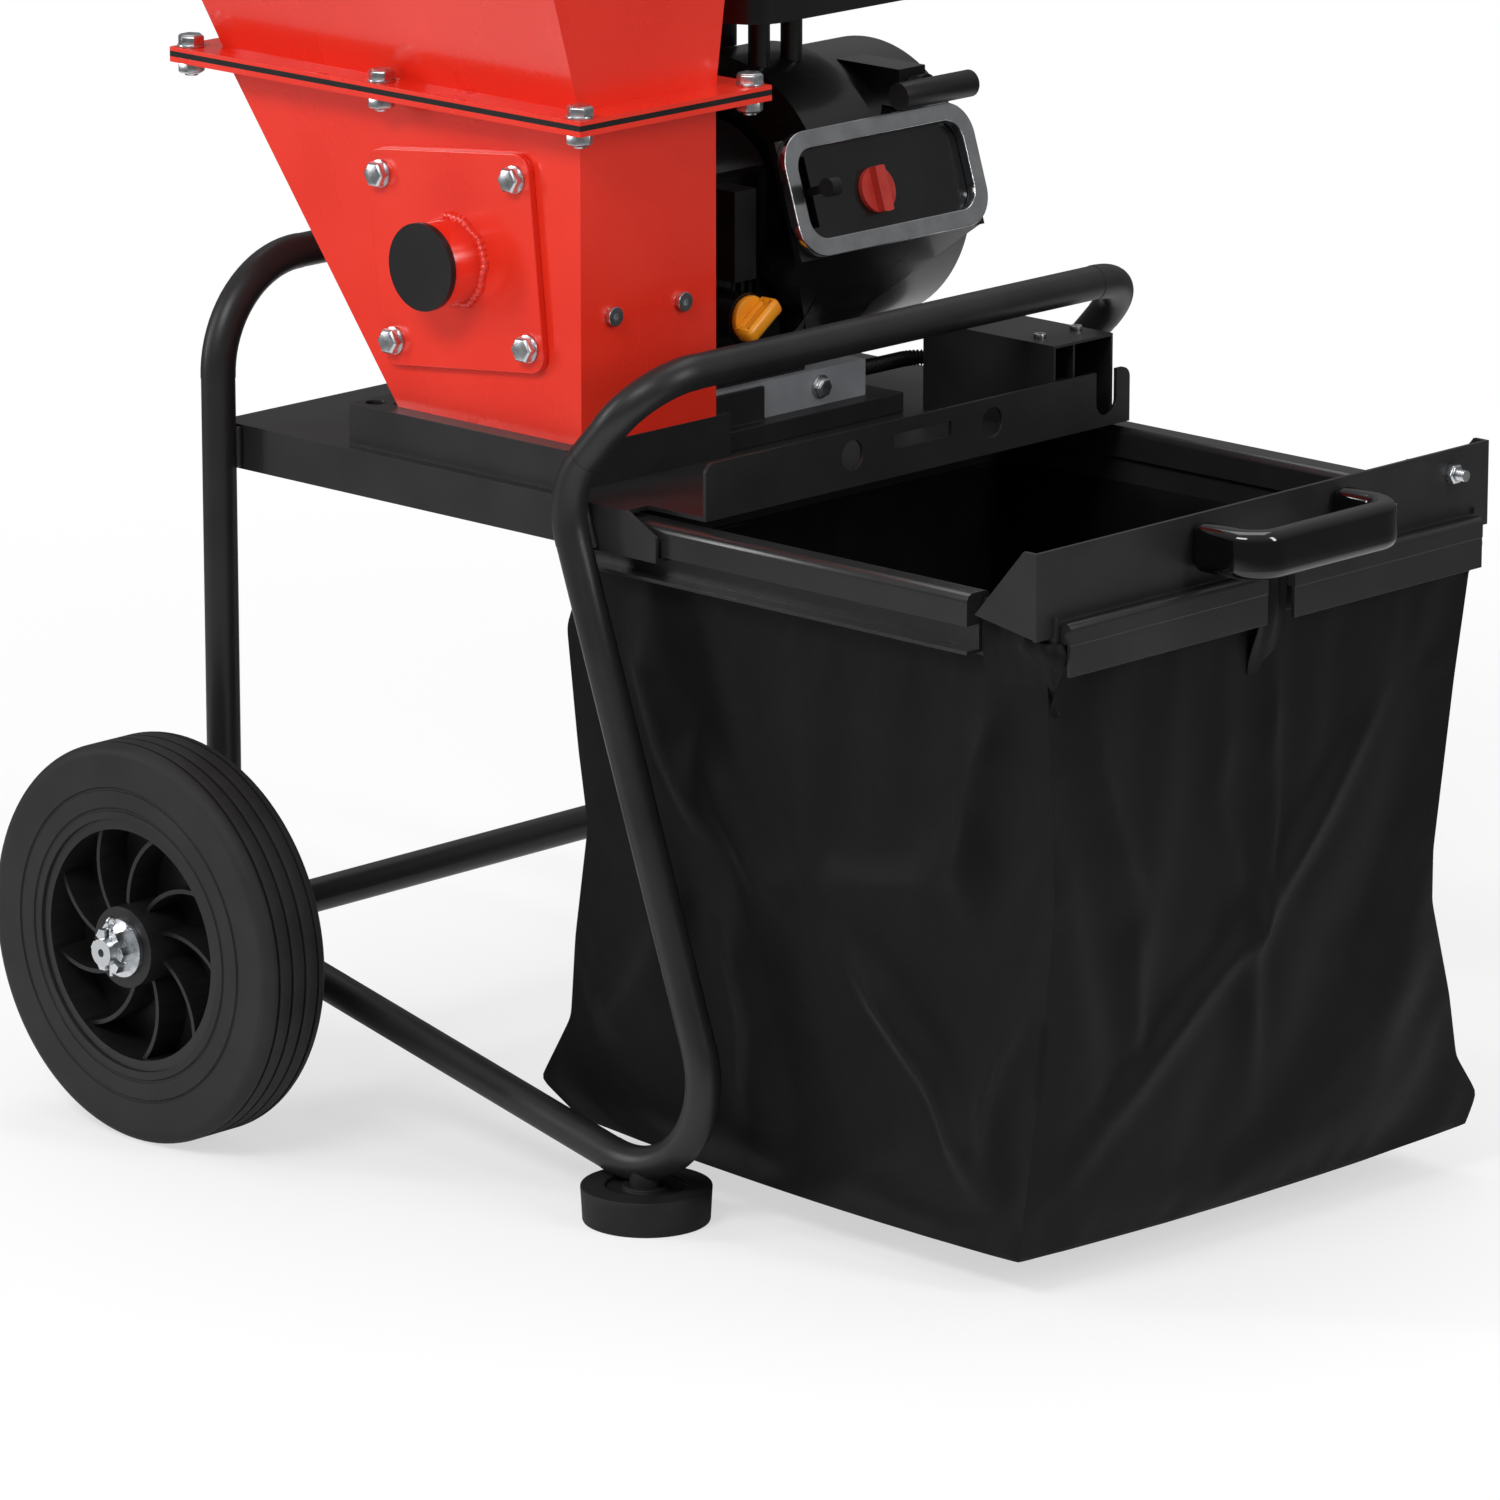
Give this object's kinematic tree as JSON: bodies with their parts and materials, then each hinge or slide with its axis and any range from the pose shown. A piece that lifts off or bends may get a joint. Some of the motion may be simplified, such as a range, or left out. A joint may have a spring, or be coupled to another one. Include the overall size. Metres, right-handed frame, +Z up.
{
  "type": "garden shredder",
  "caption": "Wheeled petrol garden shredder: tube frame, steel deck, direct-drive knife rotor in a red housing with hopper, and a pull-out fabric bag drawer.",
  "frame": {"origin": "centre of the bounding box at floor level, drawer pulled out as in the picture", "axes": "+X the way the bag drawer pulls out, +Y along the axle towards the engine's recoil side, +Z up"},
  "size_m": [0.956, 0.8238, 1.064],
  "materials": {
    "black_paint": "satin powder coat",
    "zinc": "zinc plated",
    "dark_screws": "blackened steel",
    "foot_rubber": "matt moulded rubber",
    "tyre_rubber": "matt foamed rubber",
    "hub_plastic": "fine grain",
    "red_paint": "gloss paint",
    "bearing_steel": "ground",
    "tool_steel": "ground tool steel",
    "engine_black": "gloss paint",
    "cast_aluminium": "as cast",
    "moulded_black": "moulded",
    "muffler_steel": "heat-proof paint",
    "silver_trim": "bright plated",
    "grey_paint": "grey paint",
    "orange_plastic": "moulded",
    "red_plastic": "moulded",
    "plunger_plastic": "moulded",
    "handle_gloss": "polished",
    "bag_fabric": "woven polyester"
  },
  "bodies": {
    "stand": {"rear_frame_tube": "black_paint", "front_frame_tube": "black_paint", "axle": "black_paint", "axle_spacers": "black_paint", "axle_fasteners": "zinc", "feet": "foot_rubber", "foot_bolts": "zinc", "deck": "black_paint", "housing_base": "black_paint", "housing": "red_paint", "bearing_plate": "red_paint", "bearing_cap": "hub_plastic", "rotor_bearing": "bearing_steel", "hex_bolts": "zinc", "button_screws": "dark_screws", "wear_plate": "tool_steel", "counter_blade": "tool_steel", "hopper": "red_paint", "feed_curtain": "foot_rubber", "crankcase": "engine_black", "crankcase_cover": "engine_black", "cylinder": "cast_aluminium", "rocker_cover": "engine_black", "spark_plug": "moulded_black", "carburettor": "cast_aluminium", "air_filter": "moulded_black", "muffler": "muffler_steel", "fuel_tank": "engine_black", "blower_housing": "engine_black", "recoil_cover": "engine_black", "trim_panel": "silver_trim", "governor_unit": "moulded_black", "engine_rails": "black_paint", "mount_channels": "grey_paint", "flange_bolts": "zinc", "switch_box": "black_paint", "safety_switch": "moulded_black", "conduit": "moulded_black"},
    "left_wheel": {"left_tyre": "tyre_rubber", "left_hub": "hub_plastic"},
    "right_wheel": {"right_tyre": "tyre_rubber", "right_hub": "hub_plastic"},
    "rotor_set": {"rotor": "tool_steel", "knives": "tool_steel", "knife_bolts": "dark_screws", "crankshaft": "bearing_steel", "flywheel": "cast_aluminium"},
    "bag_drawer": {"drawer_frame": "black_paint", "rim_strips": "hub_plastic", "d_handle": "handle_gloss", "latch_bolt": "zinc", "bag": "bag_fabric"},
    "dipstick_unit": {"dipstick": "orange_plastic"},
    "fuel_cap_unit": {"fuel_cap": "moulded_black"},
    "starter": {"starter_grip": "moulded_black"},
    "throttle": {"throttle_lever": "moulded_black"},
    "choke": {"choke_lever": "moulded_black"},
    "fuel_tap": {"fuel_lever": "red_plastic"},
    "stop_knob": {"stop_switch": "red_plastic"},
    "plunger": {"switch_plunger": "plunger_plastic"}
  },
  "joints": [
    {"name": "left_wheel_spin", "type": "hinge", "parent": "stand", "child": "left_wheel", "pos_m": [-0.33, -0.3555, 0.148], "axis": [0, 1, 0], "continuous": true},
    {"name": "right_wheel_spin", "type": "hinge", "parent": "stand", "child": "right_wheel", "pos_m": [-0.33, 0.3555, 0.148], "axis": [0, 1, 0], "continuous": true},
    {"name": "rotor_spin", "type": "hinge", "parent": "stand", "child": "rotor_set", "pos_m": [-0.15, -0.152, 0.655], "axis": [0, 1, 0], "continuous": true},
    {"name": "drawer_slide", "type": "slide", "parent": "stand", "child": "bag_drawer", "axis": [1, 0, 0], "range_m": [-0.3194, 0.05]},
    {"name": "dipstick_turn", "type": "hinge", "parent": "stand", "child": "dipstick_unit", "pos_m": [-0.052, -0.03, 0.598], "axis": [1, 0, 0], "range_deg": [0, 360]},
    {"name": "fuel_cap_turn", "type": "hinge", "parent": "stand", "child": "fuel_cap_unit", "pos_m": [-0.14, 0.086, 0.881], "axis": [0, 0, 1], "range_deg": [0, 90]},
    {"name": "starter_pull", "type": "slide", "parent": "stand", "child": "starter", "axis": [1, 0, 0], "range_m": [0, 0.12], "stiffness_N_per_m": 60},
    {"name": "throttle_turn", "type": "hinge", "parent": "stand", "child": "throttle", "pos_m": [-0.05215, 0.02, 0.67932], "axis": [0, 1, 0], "range_deg": [-28, 28]},
    {"name": "choke_turn", "type": "hinge", "parent": "stand", "child": "choke", "pos_m": [-0.232, -0.0453, 0.779], "axis": [0, 1, 0], "range_deg": [0, 60]},
    {"name": "fuel_tap_turn", "type": "hinge", "parent": "stand", "child": "fuel_tap", "pos_m": [-0.204, -0.0453, 0.779], "axis": [0, 1, 0], "range_deg": [0, 75]},
    {"name": "stop_switch_turn", "type": "hinge", "parent": "stand", "child": "stop_knob", "pos_m": [-0.03636, 0.088, 0.67604], "axis": [0.9511, 0, 0.309], "range_deg": [0, 60]},
    {"name": "plunger_press", "type": "slide", "parent": "stand", "child": "plunger", "axis": [1, 0, 0], "range_m": [-0.003, 0], "stiffness_N_per_m": 900}
  ]
}
